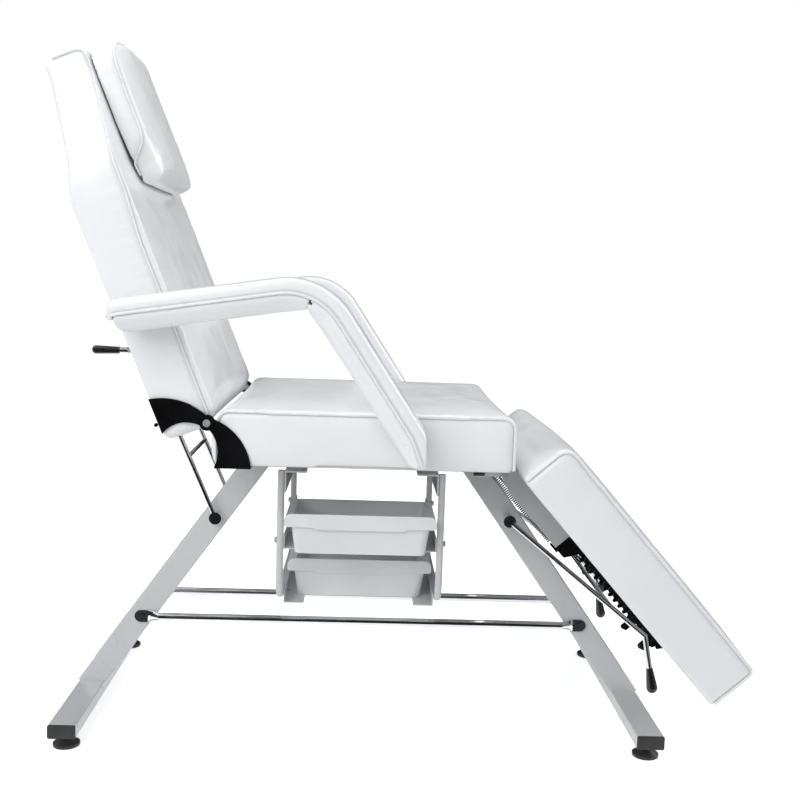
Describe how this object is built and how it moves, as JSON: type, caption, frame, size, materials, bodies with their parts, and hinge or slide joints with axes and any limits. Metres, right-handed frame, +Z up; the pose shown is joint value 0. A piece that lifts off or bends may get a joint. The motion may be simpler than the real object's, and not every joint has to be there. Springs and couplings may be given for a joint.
{
  "type": "tattoo chair",
  "caption": "Reclining treatment chair with padded seat, back, legrest, head pillow and bent armrests on a steel frame with slide-out trays.",
  "frame": {"origin": "middle of the chair's bounding box on the floor", "axes": "+X towards the foot end, +Y towards the left armrest, +Z up"},
  "size_m": [1.2998, 0.81, 1.2733],
  "materials": {
    "white_paint": "gloss",
    "chrome": "polished",
    "spring_steel": "bright",
    "grey_steel": "satin",
    "black_steel": "gloss",
    "screw_steel": "satin",
    "black_plastic": "satin",
    "white_vinyl": "semi-gloss",
    "board": "raw",
    "strip": "matte",
    "white_plastic": "satin"
  },
  "bodies": {
    "frame": {"front_foot_bar": "white_paint", "rear_foot_bar": "white_paint", "foot_bar_caps": "black_plastic", "seat_rails": "white_paint", "seat_cross_tubes": "white_paint", "tie_rod_bolts": "black_steel", "seat_board": "board", "seat_cushion": "white_vinyl", "seat_plate_screws": "screw_steel", "back_hinge_pins": "chrome", "armrest_bolts": "black_steel", "tray_frame_rear": "white_paint", "tray_frame_front": "white_paint", "tray_mount_angles": "white_paint", "upper_tray_runners": "white_paint", "lower_tray_runners": "white_paint", "tray_frame_bolts": "black_steel", "legrest_ears": "white_paint", "legrest_hinge_pins": "grey_steel", "prop_pivot_bolts": "black_steel", "prop_spacers": "white_paint", "leg_front_right": "white_paint", "leg_front_left": "white_paint", "leg_rear_right": "white_paint", "leg_rear_left": "white_paint", "tie_rod_right": "chrome", "tie_rod_left": "chrome", "seat_hinge_plate_right": "black_steel", "seat_hinge_plate_left": "black_steel", "armrest_core_right": "grey_steel", "armrest_core_left": "grey_steel", "armrest_cover_right": "white_vinyl", "armrest_cover_left": "white_vinyl", "armrest_pads_right": "white_vinyl", "armrest_pads_left": "white_vinyl"},
    "back": {"back_board": "board", "back_cushion": "white_vinyl", "back_plate_screws": "screw_steel", "back_racks": "black_steel", "head_pillow": "white_vinyl", "pillow_strip": "strip", "back_hinge_plate_right": "black_steel", "back_hinge_plate_left": "black_steel"},
    "back_prop": {"back_prop": "chrome", "back_prop_grips": "black_plastic"},
    "legrest": {"legrest_board": "board", "legrest_cushion": "white_vinyl", "legrest_arms": "grey_steel", "legrest_rack_right": "black_steel", "legrest_rack_left": "black_steel"},
    "legrest_prop": {"legrest_prop": "chrome", "legrest_prop_grips": "black_plastic"},
    "spring_right": {"legrest_spring_right": "spring_steel"},
    "spring_left": {"legrest_spring_left": "spring_steel"},
    "tray_upper": {"tray_upper": "white_plastic"},
    "tray_lower": {"tray_lower": "white_plastic"},
    "levelling_foot_front_right": {"levelling_foot_front_right": "black_plastic"},
    "levelling_foot_front_left": {"levelling_foot_front_left": "black_plastic"},
    "levelling_foot_rear_right": {"levelling_foot_rear_right": "black_plastic"},
    "levelling_foot_rear_left": {"levelling_foot_rear_left": "black_plastic"}
  },
  "joints": [
    {"name": "back_hinge", "type": "hinge", "parent": "frame", "child": "back", "pos_m": [-0.33747, 0, 0.601], "axis": [0, -1, 0], "range_deg": [0, 68]},
    {"name": "back_prop_pivot", "type": "hinge", "parent": "frame", "child": "back_prop", "pos_m": [-0.34781, 0, 0.3885], "axis": [0, -1, 0], "range_deg": [0, 49.01]},
    {"name": "legrest_hinge", "type": "hinge", "parent": "frame", "child": "legrest", "pos_m": [0.19773, 0, 0.512], "axis": [0, -1, 0], "range_deg": [0, 48.4]},
    {"name": "legrest_prop_pivot", "type": "hinge", "parent": "frame", "child": "legrest_prop", "pos_m": [0.21906, 0, 0.4], "axis": [0, -1, 0], "range_deg": [0, 58.84]},
    {"name": "spring_right_swing", "type": "hinge", "parent": "frame", "child": "spring_right", "pos_m": [0.16573, -0.175, 0.513], "axis": [0, -1, 0], "range_deg": [0, 42.48]},
    {"name": "spring_left_swing", "type": "hinge", "parent": "frame", "child": "spring_left", "pos_m": [0.16573, 0.175, 0.513], "axis": [0, -1, 0], "range_deg": [0, 42.48]},
    {"name": "tray_upper_slide", "type": "slide", "parent": "frame", "child": "tray_upper", "axis": [0, -1, 0], "range_m": [-0.12, 0.1]},
    {"name": "tray_lower_slide", "type": "slide", "parent": "frame", "child": "tray_lower", "axis": [0, -1, 0], "range_m": [-0.05, 0.2]},
    {"name": "levelling_foot_front_right_spin", "type": "hinge", "parent": "frame", "child": "levelling_foot_front_right", "pos_m": [0.46873, -0.265, 0], "axis": [0, 0, 1], "continuous": true},
    {"name": "levelling_foot_front_left_spin", "type": "hinge", "parent": "frame", "child": "levelling_foot_front_left", "pos_m": [0.46873, 0.265, 0], "axis": [0, 0, 1], "continuous": true},
    {"name": "levelling_foot_rear_right_spin", "type": "hinge", "parent": "frame", "child": "levelling_foot_rear_right", "pos_m": [-0.58927, -0.265, 0], "axis": [0, 0, 1], "continuous": true},
    {"name": "levelling_foot_rear_left_spin", "type": "hinge", "parent": "frame", "child": "levelling_foot_rear_left", "pos_m": [-0.58927, 0.265, 0], "axis": [0, 0, 1], "continuous": true}
  ],
  "couplings": [
    {"joint": "back_prop_pivot", "follows": "back_hinge", "ratio": 0.706},
    {"joint": "legrest_prop_pivot", "follows": "legrest_hinge", "ratio": 1.195},
    {"joint": "spring_right_swing", "follows": "legrest_hinge", "ratio": 0.857},
    {"joint": "spring_left_swing", "follows": "legrest_hinge", "ratio": 0.857}
  ]
}
